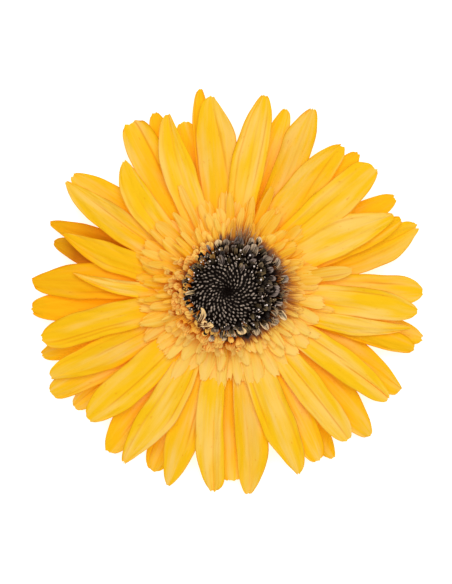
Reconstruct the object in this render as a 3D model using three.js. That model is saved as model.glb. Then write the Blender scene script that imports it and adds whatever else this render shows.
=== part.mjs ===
// A preserved yellow gerbera head, cut with a short stub of stem, lying face up on a surface.
//
// Millimetres. +Z is up, out of the face. The origin is on the surface, under the middle of the head.
// Angles are in degrees, counter-clockwise from +X as the face is seen from above.

import * as THREE from "three";

// Driving dimensions

const GAP = 0.3; // air left between neighbouring pieces

const STEM = { radius: 2.6, height: 3.1, collarRadius: 3.8, collarHeight: 4.2 };
const RECEPTACLE = {
  flareRadius: 6.3,
  flareHeight: 5.75,
  rimRadius: 9.4,
  rimHeight: 7.2,
  radius: 10,
  wallBottom: 7.6,
  top: 12.6,
  crown: 0.3, // how far the middle of the top stands above its rim
};

const RAY = {
  thickness: 0.5,
  arch: 0.5, // how far the edges of a petal lie below its middle
  baseWidth: 0.3, // as a share of the greatest width
  tipWidth: 0.26,
  widestAt: 0.62, // share of the way from the base to the tip
  along: 8, // facets along a petal
  across: 2,
};
RAY.baseRadius = RECEPTACLE.radius + GAP;

// The four whorls of ray petals, from the lowest to the highest. A petal of the lowest whorl droops
// until its tip meets the surface; the others droop by this much at the radius named below.
const WHORLS = [
  { baseHeight: 8.0, droop: null },
  { baseHeight: 9.3, droop: 5.4 },
  { baseHeight: 10.6, droop: 4.9 },
  { baseHeight: 11.9, droop: 4.4 },
];
const DROOP_RADIUS = 44;

// One line for each ray petal: where it grows from, where its tip points, how far the tip reaches
// from the middle of the face, its greatest width, and its whorl.
const RAY_PETALS = [
  [0, 359.5, 43.7, 7.2, 2],
  [13, 18.5, 45.0, 7.4, 1],
  [20.5, 22.5, 41.9, 5.4, 2],
  [24.5, 24.5, 40.5, 8.8, 3],
  [30.5, 29.5, 42.8, 6.4, 0],
  [44, 39.5, 42.9, 7.6, 3],
  [47, 46.5, 42.5, 5.0, 1],
  [56, 52, 41.3, 7.0, 2],
  [66, 65, 45.0, 7.2, 1],
  [73, 72.5, 43.0, 5.6, 0],
  [80.5, 79.5, 44.3, 7.6, 3],
  [96, 94.5, 43.4, 8.1, 2],
  [100, 97.5, 45.7, 5.0, 1],
  [106, 105, 39.0, 5.6, 0],
  [113, 108.5, 41.5, 7.4, 3],
  [114.5, 112.3, 43.2, 5.4, 1],
  [121.5, 120.3, 43.4, 7.0, 2],
  [138, 129, 36.7, 6.4, 3],
  [143.5, 143, 42.9, 6.8, 1],
  [150, 146, 43.2, 7.2, 2],
  [160, 159.5, 42.5, 6.4, 0],
  [166, 164.3, 40.5, 6.0, 1],
  [166, 161, 38.7, 6.6, 3],
  [175.5, 177, 43.5, 7.3, 2],
  [180, 173.5, 34.5, 3.4, 3],
  [186, 185.3, 43.8, 6.6, 1],
  [193, 194, 42.5, 6.9, 3],
  [199, 199, 44.3, 6.4, 0],
  [207.5, 206.3, 43.9, 7.6, 2],
  [211, 209.8, 45.9, 6.4, 1],
  [217, 217, 43.7, 6.4, 0],
  [226, 223, 42.3, 7.0, 3],
  [234, 233.3, 45.0, 6.4, 1],
  [243.5, 239, 44.6, 6.4, 3],
  [248, 247.5, 44.1, 6.4, 0],
  [252.5, 253, 45.5, 7.2, 2],
  [264, 265.7, 44.8, 6.6, 3],
  [271, 271.5, 42.5, 6.4, 1],
  [278.5, 276, 45.7, 7.6, 2],
  [290, 291, 43.7, 6.8, 3],
  [299, 298.3, 43.2, 6.6, 2],
  [302.5, 302.6, 44.6, 6.4, 0],
  [310, 309, 42.8, 6.6, 3],
  [315, 314.7, 45.7, 6.4, 1],
  [328.5, 326.2, 43.1, 7.0, 3],
  [333, 330.5, 44.8, 6.4, 1],
  [342, 342.5, 43.5, 6.4, 2],
  [342, 348.3, 41.6, 4.2, 3],
  [347, 346.2, 44.8, 6.6, 0],
  [357, 354, 42.5, 6.4, 3],
];

// The whorls of bracts hug the flare of the receptacle from below. Each middle line runs from the
// place where the bracts grow, past a bend, to their tips, as [radius, height].
const BRACTS = [
  { name: "outer_bracts", line: [[4.6, 4.1], [9.0, 5.5], [14.5, 4.8]], count: 12, joined: 0.42, turn: 8 },
  { name: "inner_bracts", line: [[6.9, 5.4], [11.5, 7.2], [19.0, 5.9]], count: 14, joined: 0.42, turn: 0 },
];

// The rows of short petals between the ray petals and the disc, from the outside in. They stand on
// the receptacle and spread over the ray petals.
const ROW_STEP = 0.8; // from one row's foot to the next
const SHORT_PETAL_ROWS = [
  { name: "short_petals_outer_row", bend: [10.5, 14.8], tip: [25.0, 12.7], count: 20, joined: 0.5 },
  { name: "short_petals_second_row", bend: [9.6, 16.4], tip: [22.4, 14.1], count: 20, joined: 0.5, turn: 9 },
  { name: "short_petals_third_row", bend: [8.7, 17.9], tip: [19.4, 15.7], count: 20, joined: 0.5, turn: 4 },
  { name: "short_petals_inner_row", bend: [7.7, 19.0], tip: [14.8, 18.0], count: 20, joined: 0.6, turn: 13 },
];
const OPEN_FLORETS = {
  name: "open_floret_ring",
  bend: [6.5, 19.3],
  tip: [12.0, 20.0],
  count: 20,
  joined: 0.8,
};
const ROW_FOOT_RADIUS = RECEPTACLE.radius - 0.55; // foot of the outermost row
const FOOT_HEIGHT = RECEPTACLE.top + RECEPTACLE.crown + GAP;

// The dome of closed buds in the middle of the face, dimpled at its centre.
const BUD_DOME = {
  footRadius: 4.7,
  waistRadius: 5.5,
  waistHeight: 16.0,
  rimRadius: 7.6,
  rimHeight: 18.9,
  shoulderRadius: 5.7,
  shoulderHeight: 19.85,
  browRadius: 3.0,
  top: 20.1,
  dimple: 19.3,
};

const BLADE_THICKNESS = 0.5; // bracts, short petals and open florets
const BLADE_STATIONS = 4; // facets along one of them
const BLADE_FACETS = 3; // facets round the axis for each of them
const ROUND_FACETS = 28;

// Materials

const material = (color, roughness) => new THREE.MeshStandardMaterial({ color, roughness, metalness: 0 });

const RAY_YELLOW = material("#fbbf32", 0.6);
const SHORT_YELLOW = material("#fbb944", 0.6);
const BUD_BLACK = material("#2a1f1c", 0.55);
const FLORET_GREY = material("#54473f", 0.6);
const BRACT_GREEN = material("#6f8a3c", 0.65);
const STEM_GREEN = material("#8b9a52", 0.6);

// Helpers

const flower = new THREE.Group();

function addPiece(name, geometry, pieceMaterial) {
  const piece = new THREE.Mesh(geometry, pieceMaterial);
  piece.name = name;
  flower.add(piece);
}

/** Makes points of [radius, height] pairs. */
const asPoints = (pairs) => pairs.map(([radius, height]) => new THREE.Vector2(radius, height));

/** Moves every vertex of a geometry to the place that a function of its old place gives. */
function reshape(geometry, place) {
  const points = geometry.attributes.position;
  const point = new THREE.Vector3();
  for (let i = 0; i < points.count; i += 1) {
    place(point.fromBufferAttribute(points, i), i);
    points.setXYZ(i, point.x, point.y, point.z);
  }
  geometry.computeVertexNormals();
  return geometry;
}

// Ray petals

/** Width of a ray petal at a share of its length, as a share of its greatest width. */
function rayWidthAt(share) {
  if (share < RAY.widestAt) {
    return THREE.MathUtils.lerp(RAY.baseWidth, 1, Math.sin((Math.PI / 2) * (share / RAY.widestAt)));
  }
  const beyond = (share - RAY.widestAt) / (1 - RAY.widestAt);
  return THREE.MathUtils.lerp(RAY.tipWidth, 1, Math.sqrt(1 - beyond ** 2.2));
}

/** Height of the middle of a ray petal at a radius, given its whorl and the reach of its tip. */
function rayHeightAt(radius, whorl, reach) {
  const lowestTip = RAY.thickness / 2 + RAY.arch * RAY.tipWidth;
  const droopRadius = whorl.droop === null ? reach : DROOP_RADIUS;
  const droop = whorl.droop === null ? whorl.baseHeight - lowestTip : whorl.droop;
  return whorl.baseHeight - droop * ((radius - RAY.baseRadius) / (droopRadius - RAY.baseRadius)) ** 2;
}

/** A strap: a box bent along its middle line, arched across and narrowed at both ends. */
function rayPetal([baseAngle, tipAngle, reach, width, whorlNumber]) {
  const box = new THREE.BoxGeometry(1, 1, 1, RAY.across, RAY.along, 1);
  const whorl = WHORLS[whorlNumber];
  const turn = ((tipAngle - baseAngle + 540) % 360) - 180;
  return reshape(box, (point) => {
    const share = point.y + 0.5;
    const side = 2 * point.x;
    const radius = THREE.MathUtils.lerp(RAY.baseRadius, reach, share);
    const angle = THREE.MathUtils.degToRad(baseAngle + turn * share ** 2);
    const sideways = -side * (width / 2) * rayWidthAt(share);
    const height =
      rayHeightAt(radius, whorl, reach) + point.z * RAY.thickness - RAY.arch * rayWidthAt(share) * side ** 2;
    point.set(
      radius * Math.cos(angle) - sideways * Math.sin(angle),
      radius * Math.sin(angle) + sideways * Math.cos(angle),
      height,
    );
  });
}

// Rows of bracts and short petals

/**
 * A row of blades grown together at their feet: a thin section turned round the axis, which reaches
 * its full length in the middle of each blade and only a part of it between two.
 */
function bladeRow({ line, count, joined, turn = 0 }) {
  const middle = new THREE.QuadraticBezierCurve(...asPoints(line));
  const shares = Array.from({ length: BLADE_STATIONS + 1 }, (_, i) => i / BLADE_STATIONS);
  const section = [
    ...shares.map((share) => ({ share, side: 1 })),
    ...shares.map((share) => ({ share, side: -1 })).reverse(),
  ];
  section.push(section[0]);
  const columns = count * BLADE_FACETS;
  const outline = section.map(({ share, side }) => new THREE.Vector2(1 + share, side));
  const turned = new THREE.LatheGeometry(outline, columns);
  return reshape(turned, (point, i) => {
    const column = Math.floor(i / section.length) % columns;
    const { share, side } = section[i % section.length];
    const between = column % BLADE_FACETS === 0;
    const reached = share * (between ? joined : 1);
    const { x: radius, y: height } = middle.getPoint(reached);
    const slope = middle.getTangent(reached);
    const lift = (side * BLADE_THICKNESS) / 2;
    const angle = THREE.MathUtils.degToRad(turn) - (2 * Math.PI * column) / columns;
    const out = radius - slope.y * lift;
    point.set(out * Math.cos(angle), out * Math.sin(angle), height + slope.x * lift);
  });
}

function bracts() {
  for (const whorl of BRACTS) addPiece(whorl.name, bladeRow(whorl), BRACT_GREEN);
}

/** The rows on the top of the receptacle, each one step further in than the one before. */
function rowsOnReceptacle() {
  [...SHORT_PETAL_ROWS, OPEN_FLORETS].forEach((row, step) => {
    const foot = [ROW_FOOT_RADIUS - step * ROW_STEP, FOOT_HEIGHT];
    const geometry = bladeRow({ ...row, line: [foot, row.bend, row.tip] });
    addPiece(row.name, geometry, row === OPEN_FLORETS ? FLORET_GREY : SHORT_YELLOW);
  });
}

// Turned pieces

/** Turns an outline of [radius, height] pairs, from the axis to the axis, round the vertical axis. */
function turned(outline) {
  return new THREE.LatheGeometry(asPoints(outline), ROUND_FACETS).rotateX(Math.PI / 2);
}

function stemWithReceptacle() {
  return turned([
    [0, 0],
    [STEM.radius, 0],
    [STEM.radius, STEM.height],
    [STEM.collarRadius, STEM.collarHeight],
    [RECEPTACLE.flareRadius, RECEPTACLE.flareHeight],
    [RECEPTACLE.rimRadius, RECEPTACLE.rimHeight],
    [RECEPTACLE.radius, RECEPTACLE.wallBottom],
    [RECEPTACLE.radius, RECEPTACLE.top],
    [0, RECEPTACLE.top + RECEPTACLE.crown],
  ]);
}

function budDome() {
  return turned([
    [0, FOOT_HEIGHT],
    [BUD_DOME.footRadius, FOOT_HEIGHT],
    [BUD_DOME.waistRadius, BUD_DOME.waistHeight],
    [BUD_DOME.rimRadius, BUD_DOME.rimHeight],
    [BUD_DOME.shoulderRadius, BUD_DOME.shoulderHeight],
    [BUD_DOME.browRadius, BUD_DOME.top],
    [0, BUD_DOME.dimple],
  ]);
}

// Assembly

addPiece("stem_with_receptacle", stemWithReceptacle(), STEM_GREEN);
bracts();
RAY_PETALS.forEach((petal, i) => {
  addPiece(`ray_petal_${String(i + 1).padStart(2, "0")}`, rayPetal(petal), RAY_YELLOW);
});
rowsOnReceptacle();
addPiece("disc_buds", budDome(), BUD_BLACK);

// The head rests on its cut stem and its lowest petals, with the origin under the middle of its box.
const extent = new THREE.Box3().setFromObject(flower);
const centre = extent.getCenter(new THREE.Vector3());
flower.position.set(-centre.x, -centre.y, -extent.min.z);

export default flower;
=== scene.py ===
"""A preserved gerbera head: fine petals, florets and buds grown round the frame of its plain solids.

Sizes are in millimetres from the axis of the flower, and become metres as each mesh is made.
Angles are in degrees, counter-clockwise from +X as the face is seen from above.
"""

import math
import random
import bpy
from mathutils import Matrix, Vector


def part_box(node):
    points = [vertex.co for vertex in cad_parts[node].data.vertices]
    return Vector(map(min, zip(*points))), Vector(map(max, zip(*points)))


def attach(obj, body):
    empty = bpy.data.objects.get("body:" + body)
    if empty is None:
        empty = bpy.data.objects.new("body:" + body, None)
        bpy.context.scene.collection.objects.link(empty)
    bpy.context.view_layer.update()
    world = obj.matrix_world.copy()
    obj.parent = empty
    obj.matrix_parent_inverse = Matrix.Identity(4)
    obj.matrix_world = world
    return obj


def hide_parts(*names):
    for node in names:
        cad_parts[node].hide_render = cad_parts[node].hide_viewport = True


bl_info = {
    "name": "Preserved gerbera head",
    "version": (1, 0, 0),
    "blender": (4, 5, 0),
    "location": "3D View > Sidebar > Gerbera",
    "description": "Builds the petals, florets, buds, bracts and stem of a preserved gerbera head",
    "category": "Add Mesh",
}

from dataclasses import dataclass, replace

import bpy
import numpy as np
from bpy.props import FloatProperty, FloatVectorProperty, IntProperty, PointerProperty
from mathutils import Vector

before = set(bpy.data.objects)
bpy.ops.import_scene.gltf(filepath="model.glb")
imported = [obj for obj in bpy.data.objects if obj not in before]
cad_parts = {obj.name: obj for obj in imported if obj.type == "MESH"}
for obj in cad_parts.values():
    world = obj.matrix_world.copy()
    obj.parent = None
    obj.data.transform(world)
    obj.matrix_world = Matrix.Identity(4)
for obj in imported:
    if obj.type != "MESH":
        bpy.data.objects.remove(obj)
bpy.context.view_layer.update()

MM = 0.001
GOLDEN_ANGLE = 180 * (3 - math.sqrt(5))
SHARP_ANGLE = 75  # an edge between two faces at a greater angle is seen as a sharp one
AXIS = sum(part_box("disc_buds"), Vector()).xy / (2 * MM)


def node_points(name):
    """The vertices of a plain solid, in millimetres from the axis."""
    return np.array([vertex.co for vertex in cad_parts[name].data.vertices]) / MM - (AXIS.x, AXIS.y, 0)


class Chance(random.Random):
    """Seeded chance, the same on each run."""

    def pair(self, low, high):
        """Two draws, for the right side of a petal and for its left."""
        return self.uniform(low, high), self.uniform(low, high)


def linear(*levels):
    """A colour as a screen shows it, 0 to 255, as the light that it stands for."""
    shares = [level / 255 for level in levels]
    return tuple(s / 12.92 if s <= 0.04045 else ((s + 0.055) / 1.055) ** 2.4 for s in shares)


# Settings


def length_setting(name, description, millimetres):
    """A setting that is a length."""
    return FloatProperty(
        name=name, description=description, default=millimetres * MM, unit="LENGTH", precision=5
    )


def colour_setting(name, description, *levels):
    """A setting that is a colour, from its levels on a screen."""
    return FloatVectorProperty(
        name=name, description=description, default=linear(*levels), subtype="COLOR"
    )


class RayPetalSettings(bpy.types.PropertyGroup):
    """The long petals round the rim."""

    thickness: length_setting("Thickness", "Thickness in the middle of a petal", 0.24)
    crease_depth: length_setting("Crease depth", "Depth of the lengthwise creases", 0.45)
    pale: colour_setting("Pale", "Colour of the palest streaks", 248, 212, 104)
    golden: colour_setting("Golden", "Colour of most of a petal", 246, 200, 18)
    orange: colour_setting("Orange", "Colour of the base and of the warmest petals", 241, 174, 0)


class ShortPetalSettings(bpy.types.PropertyGroup):
    """The rows of short petals round the disc."""

    thickness: length_setting("Thickness", "Thickness in the middle of a petal", 0.14)
    peach: colour_setting("Peach", "Colour towards the tips", 246, 213, 96)
    amber: colour_setting("Amber", "Colour towards the base", 238, 180, 0)
    smoke: colour_setting("Smoke", "Colour of the dusky bases beside the disc", 120, 84, 60)


class DiscSettings(bpy.types.PropertyGroup):
    """The buds and open florets in the middle."""

    bud_count: IntProperty(
        name="Buds", description="How many closed buds stand in the spiral", default=400, min=50
    )
    bud_tip: colour_setting("Bud tip", "Colour of the tip of a closed bud", 204, 183, 164)
    bud_side: colour_setting("Bud side", "Colour of the side of a closed bud", 20, 11, 7)
    floret_grey: colour_setting("Floret grey", "Colour of the tips of the open florets", 168, 154, 146)
    floret_dark: colour_setting("Floret dark", "Colour of the throats of the open florets", 9, 4, 2)


class StageSettings(bpy.types.PropertyGroup):
    """The floor, the light and the camera."""

    lens: FloatProperty(name="Lens", description="Focal length in millimetres", default=135)
    frame_height: length_setting("Frame height", "Height of the picture where the petals lie", 130.8)
    key_strength: FloatProperty(
        name="Key light", description="Strength of the soft light from nearly overhead", default=1.84
    )
    room_strength: FloatProperty(
        name="Room light", description="Strength of the light from all round", default=0.34
    )


# Shader maths


class Link:
    """A shader socket that takes part in Python sums."""

    def __init__(self, paint, socket):
        self.paint = paint
        self.socket = socket

    def __add__(self, other):
        return self.paint.maths("ADD", self, other)

    def __sub__(self, other):
        return self.paint.maths("SUBTRACT", self, other)

    def __rsub__(self, other):
        return self.paint.maths("SUBTRACT", other, self)

    def __mul__(self, other):
        return self.paint.maths("MULTIPLY", self, other)

    def __abs__(self):
        return self.paint.maths("ABSOLUTE", self)

    __radd__ = __add__
    __rmul__ = __mul__


class Paint:
    """A material, and the nodes that colour it."""

    def __init__(self, name):
        self.material = bpy.data.materials.new(name)
        self.material.use_nodes = True
        self.tree = self.material.node_tree
        self.tree.nodes.clear()

    def node(self, kind, settings=None, inputs=None):
        """A node of a kind, with its settings, and then the values or links of its sockets."""
        node = self.tree.nodes.new(kind)
        for name, value in (settings or {}).items():
            setattr(node, name, value)
        for name, value in (inputs or {}).items():
            self.feed(node.inputs[name], value)
        return node

    def feed(self, socket, value):
        """Gives a socket a link, a colour or a number."""
        if isinstance(value, Link):
            self.tree.links.new(value.socket, socket)
        elif socket.type == "RGBA":
            socket.default_value = (*value, 1)
        else:
            socket.default_value = value

    def maths(self, operation, *values):
        inputs = dict(enumerate(values))
        return Link(self, self.node("ShaderNodeMath", {"operation": operation}, inputs).outputs[0])

    def between(self, value, low, high):
        """How far a value has come from low to high, eased at both ends and held there."""
        settings = {"interpolation_type": "SMOOTHSTEP"}
        inputs = {"Value": value, "From Min": low, "From Max": high}
        return Link(self, self.node("ShaderNodeMapRange", settings, inputs).outputs[0])

    def mix(self, share, first, second, how="MIX"):
        settings = {"data_type": "RGBA", "blend_type": how}
        return Link(self, self.node("ShaderNodeMix", settings, {0: share, 6: first, 7: second}).outputs[2])

    def coated(self, colour, *coats):
        """A colour under coats of others, each the share that it covers and its own colour."""
        for share, coat in coats:
            colour = self.mix(share, colour, coat)
        return colour

    def attribute(self, name):
        """The three values of a mesh attribute at a point."""
        source = self.node("ShaderNodeAttribute", {"attribute_name": name})
        split = self.node("ShaderNodeSeparateXYZ", None, {0: Link(self, source.outputs["Vector"])})
        return [Link(self, socket) for socket in split.outputs]

    def mark(self, name):
        """The single value of a mesh attribute at a point."""
        return Link(self, self.node("ShaderNodeAttribute", {"attribute_name": name}).outputs["Fac"])

    def noise(self, x, y, z, detail=3, roughness=0.5):
        place = Link(self, self.node("ShaderNodeCombineXYZ", None, {0: x, 1: y, 2: z}).outputs[0])
        inputs = {"Vector": place, "Scale": 1.0, "Detail": detail, "Roughness": roughness}
        return Link(self, self.node("ShaderNodeTexNoise", None, inputs).outputs[0])

    def finish(self, colour, roughness, relief=None, depth=0.0, **constants):
        """Joins the colour, the roughness and a relief of a depth in millimetres to the surface."""
        inputs = {"Base Color": colour, "Roughness": roughness}
        inputs.update({name.replace("_", " "): value for name, value in constants.items()})
        if relief is not None:
            bump = self.node("ShaderNodeBump", None, {"Height": relief, "Distance": depth * MM})
            inputs["Normal"] = Link(self, bump.outputs[0])
        surface = self.node("ShaderNodeBsdfPrincipled", None, inputs)
        output = self.node("ShaderNodeOutputMaterial")
        self.tree.links.new(surface.outputs[0], output.inputs[0])
        return self.material


# Paints

LIGHT_THROUGH_PETALS = linear(255, 160, 0)
SHADED_GOLD = linear(188, 117, 0)
EDGE_SHADE_BROWN = linear(204, 122, 8)
CREASE_SHADE_ORANGE = linear(220, 140, 0)
FLECK_ORANGE = linear(214, 134, 8)
DUSKY_ORANGE = linear(240, 156, 12)
CREST_HIGHLIGHT_CREAM = linear(252, 218, 140)
ROOT_SHADE_BROWN = linear(188, 120, 14)
LINE_SHADE_ORANGE = linear(214, 122, 2)
SINGED_BROWN = linear(198, 124, 40)
THROAT_SHADE_BLACK = linear(20, 11, 9)
BUFF = linear(248, 220, 158)
THROAT_SHADE_ORANGE = linear(206, 112, 16)
LIP_ORANGE = linear(250, 208, 104)
POLLEN_WHITE = linear(240, 238, 236)
PAPER_WHITE = (0.85, 0.85, 0.85)
PETAL_GLOW = 0.16  # strength of the light that a petal gives off
PAPER_GLOW = 0.7


def thin_petal(paint, colour):
    """What stands for the light that a thin petal lets through, warmer than its colour, and a dull gloss."""
    warm = paint.mix(1.0, colour, LIGHT_THROUGH_PETALS, "MULTIPLY")
    return {"Emission_Color": warm, "Emission_Strength": PETAL_GLOW, "Specular_IOR_Level": 0.1}


def ray_paint(settings):
    """Yellow petal with fine lengthwise veins, warmer at the base and towards the edges, with painted shade
    on the lower petals, along the edges and in the creases.
    """
    paint = Paint("golden_ray_petal")
    across, along, seed = paint.attribute("place")
    warmth, dusk, _ = paint.attribute("tint")
    fibre = paint.noise(across * 7, along * 1.4, seed * 31, detail=4, roughness=0.62)
    patch = paint.noise(across * 1.5, along * 2.2, seed * 17, detail=2)
    pale = paint.between(fibre * 0.5 + patch * 1.5 - warmth * 0.5, 0.7, 1.3)
    base = 1 - paint.between(along, 0.1, 0.5)
    edge = paint.between(abs(across), 0.84, 1.0)
    warm = base * 0.3 + edge * 0.2 + warmth * 0.75 + (fibre - 0.5) * 0.6 - 0.1
    # shaded: painted shade on the petals that lie lower, under those above, less towards their tips
    shaded = dusk * (1 - 0.8 * paint.between(along, 0.55, 1.0))
    fleck = paint.noise(across * 7, along * 22, seed * 3, detail=3, roughness=0.6)
    vein = paint.noise(across * 26, along * 2.0, seed * 11, detail=2)
    colour = paint.coated(
        settings.golden,
        (pale, settings.pale),
        (paint.between(warm, 0.0, 1.0), settings.orange),
        (shaded * 0.8, SHADED_GOLD),
        # a thin darker line along both edges: painted shade where the petals overlap
        (paint.between(abs(across), 0.92, 1.0) * 0.5, EDGE_SHADE_BROWN),
        # crease lines: painted shade in the creases
        (paint.mark("fold") * 0.8, CREASE_SHADE_ORANGE),
        (paint.between(fleck, 0.64, 0.74) * 0.4, FLECK_ORANGE),
    )
    return paint.finish(colour, 0.5 + vein * 0.2, fibre + vein * 0.5, 0.09, **thin_petal(paint, colour))


def short_paint(settings):
    """Peach petal, amber lower down, with painted highlight on the crest of the tip and painted shade at the
    foot, along the edges, in the creases and in streaks; dusky beside the disc, and painted near black there
    as shade where it runs in under the florets.
    """
    paint = Paint("peach_short_petal")
    across, along, seed = paint.attribute("place")
    warmth, dusk, smoke = paint.attribute("tint")
    fibre = paint.noise(across * 4, along * 1.4, seed * 31, detail=4, roughness=0.62)
    blotch = paint.noise(across * 1.2, along * 2.2, seed * 43, detail=2)
    streak = paint.noise(across * 6, along * 1.1, seed * 7, detail=3)
    amber = 1.0 - along + warmth * 0.9 + (fibre - 0.5) * 1.6 + (blotch - 0.5) * 2.4
    middle = 1 - paint.between(abs(across), 0.3, 0.95)
    # a paler crest along the middle towards the tip: partly the tips' own paler colour, partly painted
    # highlight
    crest_highlight = paint.between(along + (blotch - 0.5) * 1.2, 0.6, 1.05) * middle
    # root: painted shade at the foot of each petal, where the rows above cover it
    root = 1 - paint.between(along + (blotch - 0.5) * 0.6, 0.35, 0.8)
    # edge, furrow and the creases make the darker lines: painted shade along the edges, more lower down
    # where the rows overlap, in the creases, and in streaks between the strands
    inward = 1 - paint.between(along, 0.35, 0.95)
    edge = paint.between(abs(across) + (fibre - 0.5) * 0.3, 0.6, 1.0) * (0.25 + 0.75 * inward)
    furrow = paint.between(streak, 0.54, 0.72) * (0.4 + 0.6 * inward)
    line = paint.between(edge + furrow + paint.mark("fold"), 0.0, 1.2)
    # smoke: the dusky colour of the bases beside the disc; at the throat it becomes painted shade, near
    # black, where the bases run in under the florets
    dusky = smoke + (streak - 0.5) * 0.9 * paint.between(smoke, 0.0, 0.2)
    colour = paint.coated(
        settings.peach,
        (paint.between(amber, 0.1, 1.5), settings.amber),
        (dusk * 0.6, DUSKY_ORANGE),
        (crest_highlight * (0.45 - warmth * 0.35), CREST_HIGHLIGHT_CREAM),
        (root * 0.4, ROOT_SHADE_BROWN),
        (line * 0.7, LINE_SHADE_ORANGE),
        (paint.between(dusky, 0.02, 0.4), SINGED_BROWN),
        (paint.between(dusky, 0.2, 0.65), settings.smoke),
        (paint.between(smoke, 0.6, 1.0), THROAT_SHADE_BLACK),
    )
    return paint.finish(colour, 0.5 + fibre * 0.2, fibre, 0.07, **thin_petal(paint, colour))


def floret_paint(settings):
    """Charcoal floret with a paler grey lip, partly painted highlight, or orange and buff where the warmth
    says so, darker at the throat with partly painted shade.
    """
    paint = Paint("charcoal_floret")
    across, along, seed = paint.attribute("place")
    warmth, pale, buff = paint.attribute("tint")
    fibre = paint.noise(across * 3, along * 1.6, seed * 31, detail=3)
    rim = paint.between(abs(across), 0.55, 1.0)
    # lit: where the grey and the buff of a lip show, towards its tip and rim: partly its own paler colour,
    # partly painted highlight
    lit = paint.between(along * 0.8 + rim * 0.35 + (fibre - 0.5) * 1.6, 0.25, 0.95)
    # glow: an orange floret runs from a darker throat to a paler lip; the darker throat is partly its own
    # deeper orange, partly painted shade in the gaps between florets
    glow = paint.between(along + (fibre - 0.5) * 1.8, 0.25, 1.1)
    colour = paint.coated(
        settings.floret_dark,
        (lit * pale, settings.floret_grey),
        (buff * lit, BUFF),
        (warmth, paint.mix(glow, THROAT_SHADE_ORANGE, LIP_ORANGE)),
        # white of the grains of pollen; the strongest crease lines of a lip get a little of it too, as
        # painted highlight
        (paint.between(paint.mark("fold"), 0.7, 1.0), POLLEN_WHITE),
    )
    return paint.finish(colour, 0.5 + fibre * 0.2, fibre, 0.06, **thin_petal(paint, colour))


def bud_paint(settings):
    """Near-black bud with a pale buff tip, partly painted highlight."""
    paint = Paint("near_black_bud")
    across, along, seed = paint.attribute("place")
    brightness = paint.attribute("tint")[0]
    grain = paint.noise(across * 3, along * 3, seed * 23, detail=2)
    # tip: the pale tip, partly the bud's own buff, partly painted highlight
    tip = paint.between(along + (grain - 0.5) * 0.3, 0.76, 1.0) * brightness
    colour = paint.mix(tip, settings.bud_side, settings.bud_tip)
    return paint.finish(colour, 0.6 + grain * 0.2, grain, 0.05, Specular_IOR_Level=0.06)


def green_paint(name, light, dark, brown):
    """Dried green tissue with lengthwise fibres and brown flecks, from three colours on a screen."""
    paint = Paint(name)
    across, along, seed = paint.attribute("place")
    fibre = paint.noise(across * 8, along * 2.2, seed * 19, detail=4, roughness=0.6)
    fleck = paint.noise(across * 3, along * 6, seed * 5, detail=4, roughness=0.7)
    colour = paint.coated(
        linear(*dark),
        (paint.between(fibre, 0.3, 0.7), linear(*light)),
        (paint.between(fleck + along * 0.25, 0.62, 0.86), linear(*brown)),
    )
    return paint.finish(colour, 0.6 + fibre * 0.2, fibre, 0.15, Specular_IOR_Level=0.3)


def paper_paint():
    """The paper of the floor, very slightly uneven. It gives off a little light of its own."""
    paint = Paint("white_paper")
    place = Link(paint, paint.node("ShaderNodeNewGeometry").outputs[0])
    grain = Link(paint, paint.node("ShaderNodeTexNoise", None, {"Vector": place, "Scale": 9.0}).outputs[0])
    colour = paint.mix(grain, PAPER_WHITE, tuple(0.98 * level for level in PAPER_WHITE))
    return paint.finish(colour, 0.9, Emission_Color=PAPER_WHITE, Emission_Strength=PAPER_GLOW)


# Meshes


def new_object(name, data):
    """Adds an object to the scene."""
    thing = bpy.data.objects.new(name, data)
    bpy.context.scene.collection.objects.link(thing)
    return thing


class Sheaf:
    """Surfaces gathered into one mesh, with the values that the paint reads at each point."""

    def __init__(self):
        self.parts = []
        self.faces = []
        self.count = 0

    def add(self, points, faces, place, tint, fold=0.0):
        """Points in millimetres from the axis, faces as rows of indices, and the values of each point."""
        place, tint = (np.broadcast_to(values, points.shape) for values in (place, tint))
        self.parts.append((points, place, tint, np.broadcast_to(fold, len(points))))
        self.faces += (faces + self.count).tolist()
        self.count += len(points)

    def make(self, name, material, node):
        """Makes the piece, seats it on the flower, and hides the plain solid that it stands for."""
        points, place, tint, fold = (np.concatenate(part) for part in zip(*self.parts))
        mesh = bpy.data.meshes.new(name)
        mesh.from_pydata(((points + (AXIS.x, AXIS.y, 0)) * MM).tolist(), [], self.faces)
        for title, values in (("place", place), ("tint", tint)):
            layer = mesh.attributes.new(title, "FLOAT_VECTOR", "POINT")
            layer.data.foreach_set("vector", values.astype(np.float32).ravel())
        # fold: the painted crease shade of each point, or the whiteness of a grain of pollen
        layer = mesh.attributes.new("fold", "FLOAT", "POINT")
        layer.data.foreach_set("value", fold.astype(np.float32))
        mesh.polygons.foreach_set("use_smooth", [True] * len(mesh.polygons))
        mesh.set_sharp_from_angle(angle=math.radians(SHARP_ANGLE))
        mesh.materials.append(material)
        mesh.update()
        piece = new_object(name, mesh)
        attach(piece, "root")
        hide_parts(node)


def eased(values, low, high):
    """How far values have come from low to high, eased at both ends."""
    share = np.clip((values - low) / (high - low), 0, 1)
    return share * share * (3 - 2 * share)


def wrapped(angle):
    """An angle in radians, or an array of them, brought within half a turn of nought."""
    return (angle + math.pi) % (2 * math.pi) - math.pi


def apart(first, second):
    """How far two angles lie from each other."""
    return abs(math.degrees(wrapped(math.radians(first - second))))


def hump(angle, middle, spread, power=2):
    """A value that is 1 at a middle angle and falls away on both sides of it."""
    return math.exp(-((apart(angle, middle) / spread) ** power))


def at(radius, angle, height):
    """A point at a radius and an angle round the axis."""
    return (radius * math.cos(math.radians(angle)), radius * math.sin(math.radians(angle)), height)


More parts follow.
